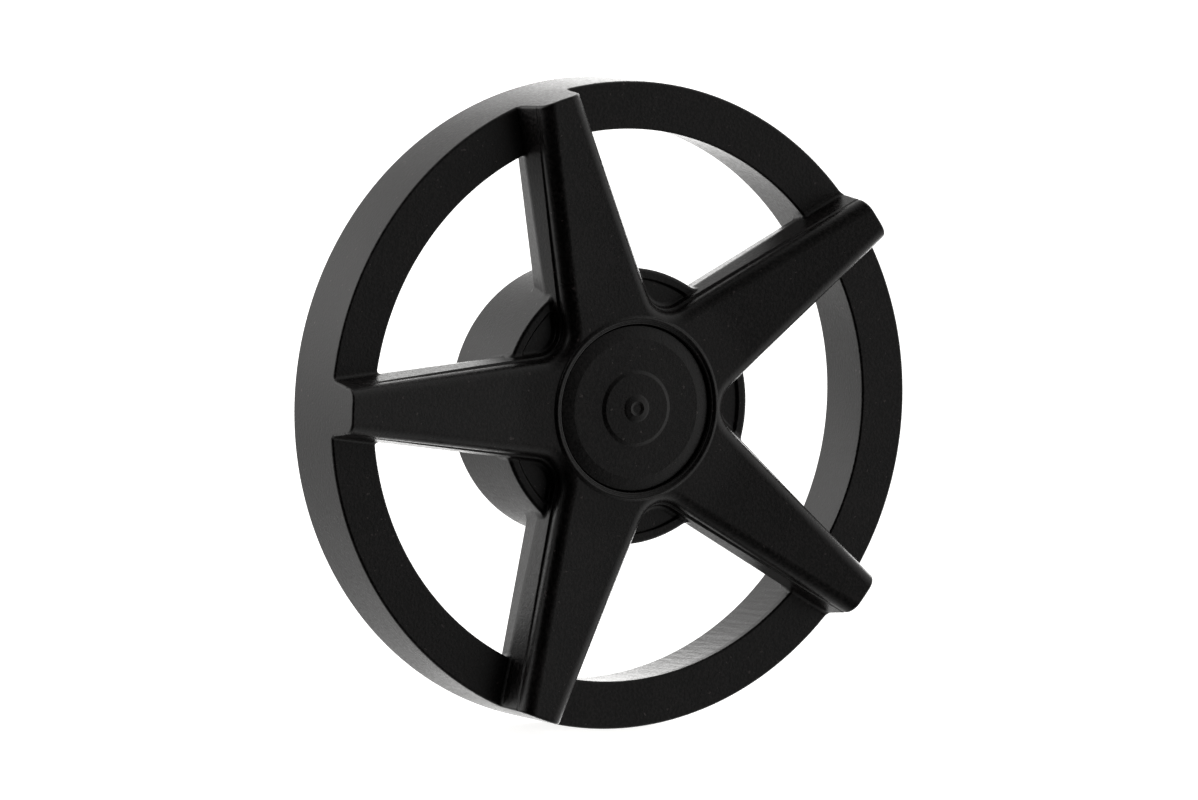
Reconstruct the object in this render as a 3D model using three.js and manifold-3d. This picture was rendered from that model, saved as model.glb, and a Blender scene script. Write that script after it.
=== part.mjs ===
// A small moulded wheel with a five-pointed star front, turning on a ball bearing and a stub axle.
//
// Millimetres, +Z up. The axle runs along Y and the wheel's front faces -Y. Stations along the
// axle are counted from the rim's front plane, positive towards the back. The finished wheel is
// then moved so that the origin is on the axle, midway along the overall depth.

import * as THREE from "three";
import { mergeVertices } from "three/addons/utils/BufferGeometryUtils.js";
import Module from "manifold-3d";

const wasm = await Module();
wasm.setup();

// ---- Driving dimensions -------------------------------------------------------------------

const wheelRadius = 30;
const spokeCount = 5;
const firstSpokeAngle = Math.PI;

// Rim: a flat band with a drafted inner wall.
const rimDepth = 0.255 * wheelRadius;
const rimInnerFront = 0.852 * wheelRadius;
const rimInnerRear = 0.867 * wheelRadius;
const rimEdgeBreak = 0.25;

// Star plate: stands proud of the rim and ends flush with the rim's outer wall. Its front is
// flat round the hub and rises along the spokes to their tips.
const starProud = 0.14 * wheelRadius;
const hubProud = 0.1 * wheelRadius;
const hubFaceRadius = 0.4 * wheelRadius;
const plateRear = -0.065 * wheelRadius;
const starEdgeRound = 1.25;
const tipHalfWidth = 0.07 * wheelRadius;
const spokeTaper = 0.115;
const valleyFillet = 2.85;

// Webs behind the plate: they swell from a small ledge to a waist and narrow again, and they
// are deeper at the hub than at the rim.
const webLedge = 0.1;
const webSwell = 0.45;
const webRearAtHub = 0.13 * wheelRadius;
const webRearAtRim = 0.09 * wheelRadius;

// Boss: a drum behind the hub, with a shallow recess in its front.
const bossRadius = 0.428 * wheelRadius;
const bossFront = -0.025 * wheelRadius;
const bossRear = 0.318 * wheelRadius;
const bossLip = 0.35;
const pocketRadius = 11.9;
const coreRadius = 9.2;
const bulkheadFront = -0.25;

// Ball bearing of the common 8 x 22 x 7 size.
const bearingBore = 8;
const bearingOutside = 22;
const bearingWidth = 7;
const ballDiameter = 3.969;
const ballCount = 7;
const innerLand = 6.05;
const outerLand = 8.95;
const raceRadius = 0.519 * ballDiameter;
const shieldThickness = 0.28;
const shieldSeatRadius = 9.75;
const shieldSeatDepth = 0.75;
const clipWire = 0.4;

// Stub axle, its washers and its retaining ring.
const washerThickness = 0.5;
const washerRadius = 5.95;
const flangeRadius = 7;
const flangeThickness = 2;
const flangeAcrossFlats = 12;
const tappedHoleRadius = 2.1;
const tappedHoleDepth = 9;
const tappedHoleMouth = 2.75;
const axleFront = 0;
const axleChamfer = 0.5;
const ringThickness = 0.8;
const ringGrooveRadius = 3.8;
const ringGap = 2.2;

// Hub cap: a bevelled plug with a low round pad and the stub of its moulding gate.
const capRadius = 7.7;
const capFaceRadius = 0.214 * wheelRadius;
const capFaceDepth = 0.12;
const capBevelDepth = 0.22;
const capPadRadius = 0.118 * wheelRadius;
const capPadHeight = 0.15;
const capPipRadius = 0.038 * wheelRadius;
const capPipHeight = 0.12;
const capThickness = 1.1;
const capSkirtInner = 6.9;
const capSkirtLength = 2.2;

// Gaps between pieces that are pressed or slid together, and between facing ends.
const slipGap = 0.05;
const faceGap = 0.05;

// Steps round each turned piece.
const coarse = 48;
const medium = 72;
const fine = 96;

// ---- Derived dimensions -------------------------------------------------------------------

const seatRadius = bearingOutside / 2 + slipGap;
const bearingRear = bossRear + faceGap;
const bearingFront = bearingRear - bearingWidth;
const bearingMiddle = (bearingFront + bearingRear) / 2;
const bulkheadRear = bearingFront - faceGap;
const pitchRadius = (bearingBore + bearingOutside) / 4;
const hubBore = capRadius + slipGap;
const starFront = -starProud;
const hubFace = -hubProud;
const spacerFront = bearingRear + faceGap;
const flangeFront = spacerFront + washerThickness + faceGap;
const axleRear = flangeFront + flangeThickness;
const journalRadius = bearingBore / 2 - 0.03;
const frontWasherRear = bearingFront - faceGap;
const ringRear = frontWasherRear - washerThickness - faceGap;
const ringFront = ringRear - ringThickness;
const overallMiddle = (starFront + axleRear) / 2;

// ---- Solids and meshes --------------------------------------------------------------------

// A closed geometry as a manifold solid, from its positions only.
function solid(geometry) {
  const bare = geometry.clone();
  bare.deleteAttribute("normal");
  bare.deleteAttribute("uv");
  const merged = mergeVertices(bare, 1e-4);
  const corners = [...merged.index.array];
  const kept = [];
  for (let i = 0; i < corners.length; i += 3) {
    const [a, b, c] = corners.slice(i, i + 3);
    if (a !== b && b !== c && c !== a) kept.push(a, b, c);
  }
  return new wasm.Manifold(
    new wasm.Mesh({
      numProp: 3,
      vertProperties: merged.attributes.position.array,
      triVerts: new Uint32Array(kept),
    }),
  );
}

// A manifold solid back as a flat-shaded three.js geometry.
function geometryOf(body) {
  const made = body.getMesh();
  const geometry = new THREE.BufferGeometry();
  geometry.setAttribute("position", new THREE.BufferAttribute(made.vertProperties, 3));
  geometry.setIndex(new THREE.BufferAttribute(made.triVerts, 1));
  geometry.computeVertexNormals();
  return geometry;
}

// A closed [radius, station] outline turned about Y. The outline runs anticlockwise, so that
// the faces point out, whichever way it is written.
function turned(outline, steps) {
  let doubleArea = 0;
  outline.forEach(([r, y], i) => {
    const [rNext, yNext] = outline[(i + 1) % outline.length];
    doubleArea += r * yNext - rNext * y;
  });
  const ordered = doubleArea > 0 ? outline : [...outline].reverse();
  const closed = [...ordered, ordered[0]];
  const points = closed.map(([r, y]) => new THREE.Vector2(r, y));
  return solid(new THREE.LatheGeometry(points, steps));
}

// A plain ring or tube between two radii and two stations.
function tube(innerRadius, outerRadius, front, rear, steps) {
  const outline = [
    [innerRadius, front],
    [outerRadius, front],
    [outerRadius, rear],
    [innerRadius, rear],
  ];
  return turned(outline, steps);
}

// A shape drawn in the X-Z plane, made solid between two stations.
function plate(shape, front, rear, curveSegments = 8) {
  const geometry = new THREE.ExtrudeGeometry(shape, {
    depth: rear - front,
    bevelEnabled: false,
    curveSegments,
  });
  geometry.rotateX(Math.PI / 2);
  geometry.translate(0, rear, 0);
  return solid(geometry);
}

// A point of the X-Z plane from a radius and an angle.
function polar(radius, angle) {
  return [radius * Math.cos(angle), radius * Math.sin(angle)];
}

// Points [radius, station] along a groove of round section, centred on the balls' pitch circle.
function grooveArc(land, steps) {
  const halfWidth = Math.sqrt(raceRadius ** 2 - (land - pitchRadius) ** 2);
  const side = Math.sign(land - pitchRadius);
  const points = [];
  for (let i = 0; i <= steps; i++) {
    const station = -halfWidth + (2 * halfWidth * i) / steps;
    const depth = Math.sqrt(raceRadius ** 2 - station ** 2);
    points.push([pitchRadius + side * depth, bearingMiddle + station]);
  }
  return points;
}

// ---- Wheel moulding -----------------------------------------------------------------------

// The star's outline: straight spokes that narrow outwards, joined by round valleys. Each spoke
// runs a little past the rim, to be trimmed flush with it. A positive inset draws the same
// outline smaller all round, and a negative one larger.
function starShape(inset) {
  const slopeAngle = Math.atan(spokeTaper);
  const halfPitch = Math.PI / spokeCount;
  const widthAtAxis = tipHalfWidth + spokeTaper * wheelRadius - inset / Math.cos(slopeAngle);
  const fillet = valleyFillet + inset;
  const reach = wheelRadius + 2;
  const reachHalfWidth = widthAtAxis - spokeTaper * reach;
  const sideToBisector = halfPitch + slopeAngle;
  const sidesMeet = widthAtAxis / (Math.sin(halfPitch) + spokeTaper * Math.cos(halfPitch));
  const filletCentre = sidesMeet + fillet / Math.sin(sideToBisector);
  const tipRadius = Math.hypot(reach, reachHalfWidth);
  const tipAngle = Math.atan2(reachHalfWidth, reach);
  const shape = new THREE.Shape();
  for (let k = 0; k < spokeCount; k++) {
    const spoke = firstSpokeAngle + 2 * halfPitch * k;
    const bisector = spoke + halfPitch;
    const firstCorner = polar(tipRadius, spoke - tipAngle);
    if (k === 0) shape.moveTo(...firstCorner);
    else shape.lineTo(...firstCorner);
    shape.lineTo(...polar(tipRadius, spoke + tipAngle));
    const from = bisector - sideToBisector - Math.PI / 2;
    const to = bisector + sideToBisector + Math.PI / 2 - 2 * Math.PI;
    shape.absarc(...polar(filletCentre, bisector), fillet, from, to, true);
  }
  shape.closePath();
  return shape;
}

// The star plate with its rounded front edges, trimmed flush with the rim's outer wall. Its
// front is sunk from the tips to the hub by moving its points along the axle.
function starPlate() {
  const spare = 2;
  const overlap = 0.1;
  const facetLength = 4;
  const geometry = new THREE.ExtrudeGeometry(starShape(0), {
    depth: starProud + spare - 2 * starEdgeRound,
    bevelThickness: starEdgeRound,
    bevelSize: starEdgeRound,
    bevelOffset: -starEdgeRound,
    bevelSegments: 3,
    curveSegments: 8,
  });
  geometry.rotateX(Math.PI / 2);
  geometry.translate(0, spare - starEdgeRound, 0);
  const wallLength = spare - starFront - starEdgeRound;
  const sink = (point) => {
    const outwards = (Math.hypot(point[0], point[2]) - hubFaceRadius) / (wheelRadius - hubFaceRadius);
    const depth = (starProud - hubProud) * (1 - Math.min(Math.max(outwards, 0), 1));
    point[1] += depth * Math.min(1, (spare - point[1]) / wallLength);
  };
  const trim = turned(
    [
      [0, starFront - 1],
      [wheelRadius, starFront - 1],
      [wheelRadius, plateRear + overlap],
      [0, plateRear + overlap],
    ],
    fine,
  );
  return solid(geometry).refineToLength(facetLength).warp(sink).intersect(trim);
}

// The webs: wider than the star at their waist, and as deep as a cone that rises towards the
// rim. Over the rim's face they are the flared feet of the spokes.
function webs() {
  const bossMiddle = (bossRadius + pocketRadius) / 2;
  const rimMiddle = (rimInnerFront + wheelRadius) / 2;
  const overlap = 0.25;
  const geometry = new THREE.ExtrudeGeometry(starShape(-webSwell), {
    depth: webRearAtHub + overlap + plateRear,
    bevelThickness: -plateRear,
    bevelSize: webSwell - webLedge,
    bevelOffset: webLedge - webSwell,
    bevelSegments: 1,
    curveSegments: 8,
  });
  geometry.rotateX(Math.PI / 2);
  geometry.translate(0, webRearAtHub + overlap + plateRear, 0);
  const room = turned(
    [
      [coreRadius - overlap, starFront],
      [wheelRadius, starFront],
      [wheelRadius, overlap],
      [rimMiddle, overlap],
      [rimMiddle, webRearAtRim],
      [bossMiddle, webRearAtHub],
      [bossMiddle, bulkheadFront + overlap],
      [coreRadius - overlap, bulkheadFront + overlap],
    ],
    fine,
  );
  return solid(geometry).intersect(room);
}

function rim() {
  return turned(
    [
      [rimInnerFront, 0],
      [wheelRadius - rimEdgeBreak, 0],
      [wheelRadius, rimEdgeBreak],
      [wheelRadius, rimDepth - rimEdgeBreak],
      [wheelRadius - rimEdgeBreak, rimDepth],
      [rimInnerRear, rimDepth],
    ],
    fine,
  );
}

// The boss, the bulkhead that the bearing stops against, and the core that the cap plugs.
function boss() {
  return turned(
    [
      [hubBore, plateRear - 0.1],
      [coreRadius, plateRear - 0.1],
      [coreRadius, bulkheadFront],
      [pocketRadius, bulkheadFront],
      [pocketRadius, bossFront + bossLip],
      [pocketRadius + bossLip, bossFront],
      [bossRadius - bossLip, bossFront],
      [bossRadius, bossFront + bossLip],
      [bossRadius, bossRear - bossLip],
      [bossRadius - bossLip, bossRear],
      [seatRadius + bossLip, bossRear],
      [seatRadius, bossRear - bossLip],
      [seatRadius, bulkheadRear],
      [hubBore, bulkheadRear],
    ],
    medium,
  );
}

function wheelMoulding() {
  const bore = tube(0, hubBore, starFront - 1, bulkheadRear + 1, medium);
  return starPlate().add(webs()).add(rim()).add(boss()).subtract(bore);
}

// ---- Hub cap ------------------------------------------------------------------------------

function hubCap() {
  const face = hubFace + capFaceDepth;
  const padTop = face - capPadHeight;
  const pipTop = padTop - capPipHeight;
  const bevelRear = face + capBevelDepth;
  const capRear = hubFace + capThickness;
  return turned(
    [
      [0, pipTop],
      [capPipRadius - 0.3, pipTop],
      [capPipRadius, padTop],
      [capPadRadius - 0.35, padTop],
      [capPadRadius, face],
      [capFaceRadius, face],
      [capRadius, bevelRear],
      [capRadius, hubFace + capSkirtLength],
      [capSkirtInner, hubFace + capSkirtLength],
      [capSkirtInner, capRear],
      [0, capRear],
    ],
    coarse,
  );
}

// ---- Bearing ------------------------------------------------------------------------------

const grooveSteps = 6;

function bearingOuterRing() {
  const outside = bearingOutside / 2;
  const edge = 0.3;
  return turned(
    [
      [outside - edge, bearingFront],
      [outside, bearingFront + edge],
      [outside, bearingRear - edge],
      [outside - edge, bearingRear],
      [shieldSeatRadius, bearingRear],
      [shieldSeatRadius, bearingRear - shieldSeatDepth],
      [outerLand, bearingRear - shieldSeatDepth],
      ...grooveArc(outerLand, grooveSteps).reverse(),
      [outerLand, bearingFront + shieldSeatDepth],
      [shieldSeatRadius, bearingFront + shieldSeatDepth],
      [shieldSeatRadius, bearingFront],
    ],
    coarse,
  );
}

function bearingInnerRing() {
  const bore = bearingBore / 2;
  const edge = 0.3;
  return turned(
    [
      [bore + edge, bearingFront],
      [innerLand, bearingFront],
      ...grooveArc(innerLand, grooveSteps),
      [innerLand, bearingRear],
      [bore + edge, bearingRear],
      [bore, bearingRear - edge],
      [bore, bearingFront + edge],
    ],
    coarse,
  );
}

function ballCentre(index) {
  const [x, z] = polar(pitchRadius, (2 * Math.PI * index) / ballCount);
  return new THREE.Vector3(x, bearingMiddle, z);
}

function ball(index) {
  const { x, y, z } = ballCentre(index);
  const detail = 2;
  return solid(new THREE.IcosahedronGeometry(ballDiameter / 2, detail).translate(x, y, z));
}

// A snap cage: a ring behind the balls, with a finger between each ball and the next.
function bearingCage() {
  const halfThickness = 0.75;
  const backLength = 2.6;
  const fingerLength = 1.2;
  const pocket = ballDiameter / 2 + 0.12;
  let cage = tube(
    pitchRadius - halfThickness,
    pitchRadius + halfThickness,
    bearingMiddle - fingerLength,
    bearingMiddle + backLength,
    coarse,
  );
  for (let k = 0; k < ballCount; k++) {
    const { x, y, z } = ballCentre(k);
    cage = cage.subtract(solid(new THREE.IcosahedronGeometry(pocket, 2).translate(x, y, z)));
  }
  return cage;
}

// side is -1 for the front of the bearing and 1 for its back.
function shield(side) {
  const inner = innerLand + 0.2;
  const outer = shieldSeatRadius - 0.1;
  const seat = bearingMiddle + side * (bearingWidth / 2 - shieldSeatDepth + 0.03);
  const face = seat + side * shieldThickness;
  return tube(inner, outer, Math.min(seat, face), Math.max(seat, face), coarse);
}

// A round wire sprung into the outer ring in front of the shield, with a small gap in it.
function shieldClip(side) {
  const radius = shieldSeatRadius - 0.1 - clipWire / 2;
  const station = bearingMiddle + side * (bearingWidth / 2 - clipWire / 2 - 0.01);
  const gapAngle = 0.16;
  const wireSides = 6;
  const bends = 40;
  class WireRun extends THREE.Curve {
    getPoint(t) {
      const angle = -Math.PI / 2 + gapAngle / 2 + t * (2 * Math.PI - gapAngle);
      const [x, z] = polar(radius, angle);
      return new THREE.Vector3(x, station, z);
    }
  }
  const section = new THREE.Shape();
  for (let i = 0; i < wireSides; i++) {
    const corner = polar(clipWire / 2, (2 * Math.PI * i) / wireSides);
    if (i === 0) section.moveTo(...corner);
    else section.lineTo(...corner);
  }
  section.closePath();
  const wire = new THREE.ExtrudeGeometry(section, { steps: bends, extrudePath: new WireRun() });
  return solid(wire);
}

// ---- Axle ---------------------------------------------------------------------------------

function axlePin() {
  const grooveFront = ringFront - faceGap;
  const grooveRear = ringRear + faceGap;
  const holeEnd = axleRear - tappedHoleDepth;
  const flangeEdge = 0.3;
  const pin = turned(
    [
      [0, axleFront],
      [journalRadius - axleChamfer, axleFront],
      [journalRadius, axleFront + axleChamfer],
      [journalRadius, grooveFront],
      [ringGrooveRadius, grooveFront],
      [ringGrooveRadius, grooveRear],
      [journalRadius, grooveRear],
      [journalRadius, flangeFront],
      [flangeRadius, flangeFront],
      [flangeRadius, axleRear - flangeEdge],
      [flangeRadius - flangeEdge, axleRear],
      [tappedHoleMouth, axleRear],
      [tappedHoleRadius, axleRear - (tappedHoleMouth - tappedHoleRadius)],
      [tappedHoleRadius, holeEnd],
      [0, holeEnd - tappedHoleRadius / 2],
    ],
    coarse,
  );
  const slab = new THREE.BoxGeometry(flangeAcrossFlats, 4 * flangeThickness, 3 * flangeRadius);
  const clearOfFlange = axleRear;
  slab.translate(0, clearOfFlange, 0);
  const journal = tube(0, journalRadius + 1, axleFront - 1, flangeFront - faceGap / 2, coarse);
  return pin.intersect(solid(slab).add(journal));
}

function washer(front) {
  const bore = journalRadius + slipGap;
  return tube(bore, washerRadius, front, front + washerThickness, coarse);
}

// A retaining ring: widest opposite its gap, with a drilled lug on each side of the gap.
function retainingRing() {
  const bore = ringGrooveRadius + slipGap;
  const outside = 5.3;
  const offset = 0.4;
  const lugRadius = 1.15;
  const lugHole = 0.55;
  const lugCentreRadius = 5.1;
  const lugAngle = 0.42;
  const body = new THREE.Shape().absarc(0, -offset, outside, 0, 2 * Math.PI, false);
  let ring = plate(body, ringFront, ringRear, 16);
  const lugs = [-1, 1].map((side) => polar(lugCentreRadius, Math.PI / 2 + side * lugAngle));
  for (const [x, z] of lugs) {
    const lug = new THREE.Shape().absarc(x, z, lugRadius, 0, 2 * Math.PI, false);
    ring = ring.add(plate(lug, ringFront, ringRear));
  }
  for (const [x, z] of lugs) {
    const hole = new THREE.Shape().absarc(x, z, lugHole, 0, 2 * Math.PI, false);
    ring = ring.subtract(plate(hole, ringFront - 1, ringRear + 1, 4));
  }
  const gap = new THREE.BoxGeometry(ringGap, 3, outside + lugRadius);
  gap.translate(0, (ringFront + ringRear) / 2, ringGrooveRadius / 2 + outside / 2 + lugRadius);
  const hole = tube(0, bore, ringFront - 1, ringRear + 1, coarse);
  return ring.subtract(hole).subtract(solid(gap));
}

// ---- Materials and assembly ---------------------------------------------------------------

const finishes = {
  blackPlastic: { color: 0x1f1b1b, roughness: 0.42, metalness: 0 },
  bearingSteel: { color: 0xb9bcc0, roughness: 0.25, metalness: 1 },
  ballSteel: { color: 0xd5d8dc, roughness: 0.08, metalness: 1 },
  shieldSteel: { color: 0xa8abae, roughness: 0.35, metalness: 1 },
  springSteel: { color: 0x3a3b3e, roughness: 0.4, metalness: 1 },
  platedSteel: { color: 0xc2c4c0, roughness: 0.3, metalness: 1 },
  cagePolymer: { color: 0xd9cfb4, roughness: 0.5, metalness: 0 },
};

const assembly = new THREE.Group();
assembly.position.y = -overallMiddle;

function addPiece(name, body, finish) {
  const piece = new THREE.Mesh(
    geometryOf(body),
    new THREE.MeshStandardMaterial(finishes[finish]),
  );
  piece.name = name;
  assembly.add(piece);
}

addPiece("wheel_moulding", wheelMoulding(), "blackPlastic");
addPiece("hub_cap", hubCap(), "blackPlastic");

addPiece("bearing_outer_ring", bearingOuterRing(), "bearingSteel");
addPiece("bearing_inner_ring", bearingInnerRing(), "bearingSteel");
addPiece("bearing_cage", bearingCage(), "cagePolymer");
for (let k = 0; k < ballCount; k++) addPiece(`ball_${k + 1}`, ball(k), "ballSteel");
for (const [name, side] of [
  ["front", -1],
  ["rear", 1],
]) {
  addPiece(`${name}_shield`, shield(side), "shieldSteel");
  addPiece(`${name}_shield_clip`, shieldClip(side), "springSteel");
}

addPiece("axle_pin", axlePin(), "platedSteel");
addPiece("rear_spacer", washer(spacerFront), "platedSteel");
addPiece("front_washer", washer(frontWasherRear - washerThickness), "platedSteel");
addPiece("retaining_ring", retainingRing(), "springSteel");

const wheel = new THREE.Group();
wheel.add(assembly);

export default wheel;
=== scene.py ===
"""A small black five-spoke moulded wheel on a ball bearing and a stub axle, in a white studio.

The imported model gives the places. Shapes are worked out in millimetres, in the wheel's own
stations: the axle runs along Y, station 0 is the rim's front plane, and the front is towards -Y.
"""

import math

import bmesh
import bpy
import numpy as np
from mathutils import Matrix, Vector

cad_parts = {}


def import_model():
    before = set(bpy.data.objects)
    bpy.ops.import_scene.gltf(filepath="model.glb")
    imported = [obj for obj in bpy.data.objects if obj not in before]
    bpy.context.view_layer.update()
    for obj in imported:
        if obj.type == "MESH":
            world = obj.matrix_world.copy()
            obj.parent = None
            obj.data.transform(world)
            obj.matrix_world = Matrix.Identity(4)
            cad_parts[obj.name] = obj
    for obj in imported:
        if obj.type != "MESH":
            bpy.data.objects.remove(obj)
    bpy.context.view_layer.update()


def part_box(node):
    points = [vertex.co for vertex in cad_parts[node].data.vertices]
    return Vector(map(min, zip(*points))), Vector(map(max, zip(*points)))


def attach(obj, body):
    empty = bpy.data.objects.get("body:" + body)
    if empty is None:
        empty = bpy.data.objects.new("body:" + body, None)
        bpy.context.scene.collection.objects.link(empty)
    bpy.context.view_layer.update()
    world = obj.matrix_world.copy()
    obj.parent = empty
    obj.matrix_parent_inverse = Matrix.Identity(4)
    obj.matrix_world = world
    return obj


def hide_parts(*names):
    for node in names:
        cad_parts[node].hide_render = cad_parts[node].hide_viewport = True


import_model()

MM = 0.001


# ---- Places and sizes taken from the frame ------------------------------------------------


def node_span(node):
    """A CAD node's lowest and highest Y, in millimetres."""
    low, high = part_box(node)
    return low.y / MM, high.y / MM


moulding_low, moulding_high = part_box("wheel_moulding")
WHEEL_RADIUS = moulding_high.x / MM
STAR_PROUD = 0.14 * WHEEL_RADIUS
RIM_FRONT_Y = moulding_low.y / MM + STAR_PROUD


def station(node):
    """A CAD node's front and rear stations."""
    front, rear = node_span(node)
    return front - RIM_FRONT_Y, rear - RIM_FRONT_Y


BEARING_FRONT, BEARING_REAR = station("bearing_outer_ring")
BEARING_MIDDLE = (BEARING_FRONT + BEARING_REAR) / 2
BOSS_REAR = station("wheel_moulding")[1]
CAP_REAR = station("hub_cap")[1]

# ---- Moulding dimensions, in millimetres --------------------------------------------------

SPOKES = 5
RIM_DEPTH = 0.255 * WHEEL_RADIUS
RIM_INNER_FRONT = 0.852 * WHEEL_RADIUS
RIM_DRAFT = 0.06
TIP_HALF_WIDTH = 0.07 * WHEEL_RADIUS
SPOKE_TAPER = 0.115
VALLEY_FILLET = 2.85
STAR_EDGE = 1.25
HUB_FACE = -0.1 * WHEEL_RADIUS
HUB_FLAT = 0.4 * WHEEL_RADIUS
PLATE_THICKNESS = 1.5
PLATE_DRAFT = 0.02
PLATE_OVERLAP = 0.3
RIB_SWELL = 0.5
RIB_PARTING = 0.25
RIB_FRONT_DRAFT = 0.14
RIB_REAR_DRAFT = 0.22
RIB_WAIST_EDGE = 0.1
RIB_REAR_EDGE = 0.3
RIB_LEDGE_EDGE = 0.15
RIB_INSIDE_BOSS = 0.94
RIB_OVERLAP = 0.3
RIB_REAR_AT_HUB = 0.13 * WHEEL_RADIUS
RIB_REAR_AT_RIM = 0.09 * WHEEL_RADIUS
FOOT_FILLET = 0.5
JOIN_FILLET = 0.45
LEDGE_FILLET = 0.08
BOSS_RADIUS = 0.428 * WHEEL_RADIUS
BOSS_FRONT = -0.025 * WHEEL_RADIUS
BOSS_EDGE = 0.3
POCKET_RADIUS = 11.9
POCKET_FLOOR = -0.5
POCKET_EDGE = 0.15
CORE_RADIUS = 9.2
SEAT_RADIUS = 11.0
SEAT_FRONT = BEARING_FRONT - 0.02
SEAT_EDGE = 0.25
HUB_BORE = 7.78
BORE_EDGE = 0.15
BEAD_RADIUS = 8.28
BEAD_ROUND = 0.2
EDGE_BREAK = 0.22


# ---- Mesh helpers -------------------------------------------------------------------------


def to_row(points):
    """Points [x, station, z] in millimetres as row-frame coordinates in metres."""
    moved = np.array(points, float)
    moved[:, 1] += RIM_FRONT_Y
    return moved * MM


def from_row(points):
    """Row-frame points in metres as [x, station, z] in millimetres."""
    moved = np.array(points, float) / MM
    moved[:, 1] -= RIM_FRONT_Y
    return moved


def make_object(name, mesh):
    piece = bpy.data.objects.new(name, mesh)
    bpy.context.scene.collection.objects.link(piece)
    return piece


def mesh_object(name, points, faces, sharp_degrees=32):
    """A smooth-shaded object whose edges above the given angle stay sharp."""
    mesh = bpy.data.meshes.new(name)
    mesh.from_pydata(to_row(points).tolist(), [], [list(f) for f in faces])
    mesh.update()
    work = bmesh.new()
    work.from_mesh(mesh)
    bmesh.ops.recalc_face_normals(work, faces=work.faces)
    work.to_mesh(mesh)
    work.free()
    mesh.shade_smooth()
    mesh.set_sharp_from_angle(angle=math.radians(sharp_degrees))
    piece = make_object(name, mesh)
    flat_faces = piece.modifiers.new("flat_faces", "WEIGHTED_NORMAL")
    flat_faces.keep_sharp = True
    return piece


def rounded(outline, closed=True, steps=5):
    """A [radius, station, corner radius] outline with its corners turned into arcs."""
    points = []
    count = len(outline)
    for i, (r, y, corner) in enumerate(outline):
        here = np.array([r, y], float)
        at_end = not closed and i in (0, count - 1)
        if corner <= 0 or at_end:
            points.append(here)
            continue
        before = np.array(outline[i - 1][:2], float) - here
        after = np.array(outline[(i + 1) % count][:2], float) - here
        before /= np.linalg.norm(before)
        after /= np.linalg.norm(after)
        half = math.acos(np.clip(before @ after, -1, 1)) / 2
        setback = corner / math.tan(half)
        inward = before + after
        centre = here + inward / np.linalg.norm(inward) * corner / math.sin(half)
        start = here + before * setback - centre
        end = here + after * setback - centre
        turn = math.atan2(start[0] * end[1] - start[1] * end[0], start @ end)
        for k in range(steps + 1):
            a = turn * k / steps
            spun = [
                start[0] * math.cos(a) - start[1] * math.sin(a),
                start[0] * math.sin(a) + start[1] * math.cos(a),
            ]
            points.append(centre + np.array(spun))
    return points


def turned(name, outline, steps=192, shape=None, sharp_degrees=32):
    """An outline of [radius, station] points turned about the axle. An outline that starts and
    ends on the axle is closed there. shape(x, station, z) may move the finished points."""
    outline = np.array(outline, float)
    on_axis = outline[0][0] < 1e-6 and outline[-1][0] < 1e-6
    body = outline[1:-1] if on_axis else outline
    rows = len(body)
    angles = 2 * np.pi * np.arange(steps) / steps
    radius, turn = np.meshgrid(body[:, 0], angles, indexing="ij")
    height = np.repeat(body[:, 1], steps).reshape(rows, steps)
    grid = np.stack([radius * np.cos(turn), height, radius * np.sin(turn)], -1)
    points = grid.reshape(-1, 3)
    faces = []
    last_row = rows - 1 if on_axis else rows
    for i in range(last_row):
        upper = (i + 1) % rows
        for j in range(steps):
            k = (j + 1) % steps
            faces.append((i * steps + j, i * steps + k, upper * steps + k, upper * steps + j))
    if on_axis:
        ends = np.array([[0, outline[0][1], 0], [0, outline[-1][1], 0]])
        first, final = len(points), len(points) + 1
        points = np.vstack([points, ends])
        for j in range(steps):
            k = (j + 1) % steps
            faces.append((first, k, j))
            faces.append((final, last_row * steps + j, last_row * steps + k))
    if shape is not None:
        points = shape(points)
    return mesh_object(name, points, faces, sharp_degrees)


def finish_piece(piece, body, slot_name, material, *nodes):
    piece.data.materials.clear()
    piece.data.materials.append(material)
    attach(piece, body)
    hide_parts(*nodes)
    return piece


# ---- Rounded solids from distance functions -----------------------------------------------


def fillet_union(a, b, radius):
    """The union of two solids, with a fillet where they meet."""
    u = np.maximum(radius - a, 0)
    v = np.maximum(radius - b, 0)
    return np.maximum(radius, np.minimum(a, b)) - np.sqrt(u * u + v * v)


def round_common(a, b, radius):
    """The common part of two solids, with the edge between them rounded."""
    u = np.maximum(radius + a, 0)
    v = np.maximum(radius + b, 0)
    return np.minimum(-radius, np.maximum(a, b)) + np.sqrt(u * u + v * v)


def crossings(distance, axis, lines):
    """Where the surface crosses the grid's edges along one axis: mask and grid positions."""
    count = distance.shape[axis]
    near = np.take(distance, range(count - 1), axis)
    far = np.take(distance, range(1, count), axis)
    cut = (near < 0) != (far < 0)
    share = np.where(cut, near / np.where(cut, near - far, 1), 0)
    start = np.indices(cut.shape, dtype=np.float32)
    place = [np.interp(start[k], np.arange(len(lines[k])), lines[k]) for k in range(3)]
    step = np.diff(lines[axis])
    shape = [1, 1, 1]
    shape[axis] = len(step)
    place[axis] = place[axis] + share * step.reshape(shape)
    return cut, np.stack(place, -1) * cut[..., None]


def around(axis):
    """The two axes of the grid across the given one."""
    return [k for k in range(3) if k != axis]


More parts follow.
